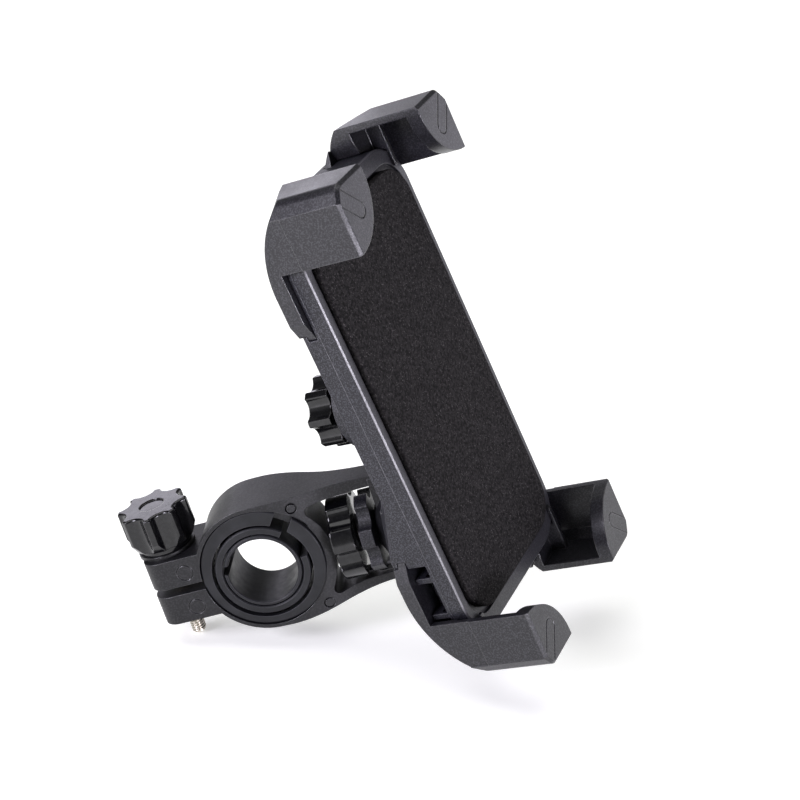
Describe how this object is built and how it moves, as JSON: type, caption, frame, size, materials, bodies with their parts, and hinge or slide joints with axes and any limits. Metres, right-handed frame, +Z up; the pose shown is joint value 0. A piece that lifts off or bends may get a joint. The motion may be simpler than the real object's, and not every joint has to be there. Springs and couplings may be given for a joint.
{
  "type": "bicycle phone mount",
  "caption": "Handlebar clamp with a ball swivel and a flat padded holder; one rear knob slides the corner claws in and out together.",
  "frame": {"origin": "centre of the handlebar bore, halfway along it", "axes": "+Y along the handlebar bore, +Z up, +X from the bore towards the holder"},
  "size_m": [0.1334, 0.07, 0.1451],
  "materials": {
    "housing_plastic": "fine-grained black ABS",
    "clamp_plastic": "smooth satin black nylon",
    "claw_plastic": "smoother satin black ABS",
    "knob_plastic": "glossy black moulding",
    "shim_rubber": "satin black rubber",
    "foam": "speckled black closed-cell foam",
    "nylon": "plain black nylon",
    "screw_steel": "nickel-plated steel",
    "bright_chrome": "bright chrome plating"
  },
  "bodies": {
    "clamp": {"clamp_arm": "clamp_plastic", "outer_shim": "shim_rubber", "middle_shim": "shim_rubber", "inner_shim": "shim_rubber", "clamp_nut": "screw_steel", "swivel_stud": "screw_steel", "saucer_washer": "housing_plastic"},
    "knob_washer": {"knob_washer": "nylon"},
    "clamp_knob": {"clamp_knob": "knob_plastic", "clamp_screw": "screw_steel"},
    "swivel_nut": {"swivel_nut": "knob_plastic"},
    "outer_liner": {"outer_liner": "nylon"},
    "inner_liner": {"inner_liner": "nylon"},
    "holder": {"swivel_dome": "housing_plastic", "dome_screws": "screw_steel", "back_cover": "housing_plastic", "front_tray": "housing_plastic", "foam_pad": "foam", "cover_screws": "screw_steel"},
    "claw_knob": {"claw_knob": "knob_plastic", "claw_knob_screw": "bright_chrome", "claw_knob_washer": "screw_steel", "pinion": "nylon", "friction_spring": "screw_steel"},
    "claw_upper_left": {"claw_upper_left": "claw_plastic"},
    "claw_upper_right": {"claw_upper_right": "claw_plastic"},
    "claw_lower_left": {"claw_lower_left": "claw_plastic"},
    "claw_lower_right": {"claw_lower_right": "claw_plastic"}
  },
  "joints": [
    {"name": "knob_washer_rise", "type": "slide", "parent": "clamp", "child": "knob_washer", "axis": [-0.294, 0, 0.9558], "range_m": [0, 0.0042]},
    {"name": "clamp_knob_turn", "type": "hinge", "parent": "knob_washer", "child": "clamp_knob", "pos_m": [-0.02599, 0, 0.00184], "axis": [-0.294, 0, 0.9558], "range_deg": [0, 2160]},
    {"name": "swivel_nut_turn", "type": "hinge", "parent": "clamp", "child": "swivel_nut", "pos_m": [0.02174, 0, 0.00669], "axis": [-0.9558, 0, -0.294], "range_deg": [0, 180]},
    {"name": "swivel_yaw", "type": "hinge", "parent": "clamp", "child": "outer_liner", "pos_m": [0.04215, 0, 0.01297], "axis": [-0.294, 0, 0.9558], "range_deg": [-2.5, 47.5]},
    {"name": "swivel_pitch", "type": "hinge", "parent": "outer_liner", "child": "inner_liner", "pos_m": [0.04215, 0, 0.01297], "axis": [0.3658, 0.9239, 0.1125], "range_deg": [-4, 16]},
    {"name": "swivel_spin", "type": "hinge", "parent": "inner_liner", "child": "holder", "pos_m": [0.04215, 0, 0.01297], "axis": [0.8475, -0.3806, 0.3701], "continuous": true},
    {"name": "claw_knob_turn", "type": "hinge", "parent": "holder", "child": "claw_knob", "pos_m": [0.0441, -0.00668, 0.05135], "axis": [0.8475, -0.3806, 0.3701], "range_deg": [0, 286.4]},
    {"name": "claw_upper_left_slide", "type": "slide", "parent": "holder", "child": "claw_upper_left", "axis": [-0.5019, -0.3475, 0.792], "range_m": [0, 0.024]},
    {"name": "claw_upper_right_slide", "type": "slide", "parent": "holder", "child": "claw_upper_right", "axis": [-0.2302, 0.3647, 0.9022], "range_m": [0, 0.024]},
    {"name": "claw_lower_left_slide", "type": "slide", "parent": "holder", "child": "claw_lower_left", "axis": [0.2302, -0.3647, -0.9022], "range_m": [0, 0.024]},
    {"name": "claw_lower_right_slide", "type": "slide", "parent": "holder", "child": "claw_lower_right", "axis": [0.5019, 0.3475, -0.792], "range_m": [0, 0.024]}
  ],
  "couplings": [
    {"joint": "knob_washer_rise", "follows": "clamp_knob_turn", "m_per_rad": 0.00011141},
    {"joint": "claw_upper_left_slide", "follows": "claw_knob_turn", "m_per_rad": 0.0048},
    {"joint": "claw_upper_right_slide", "follows": "claw_knob_turn", "m_per_rad": 0.0048},
    {"joint": "claw_lower_left_slide", "follows": "claw_knob_turn", "m_per_rad": 0.0048},
    {"joint": "claw_lower_right_slide", "follows": "claw_knob_turn", "m_per_rad": 0.0048}
  ]
}
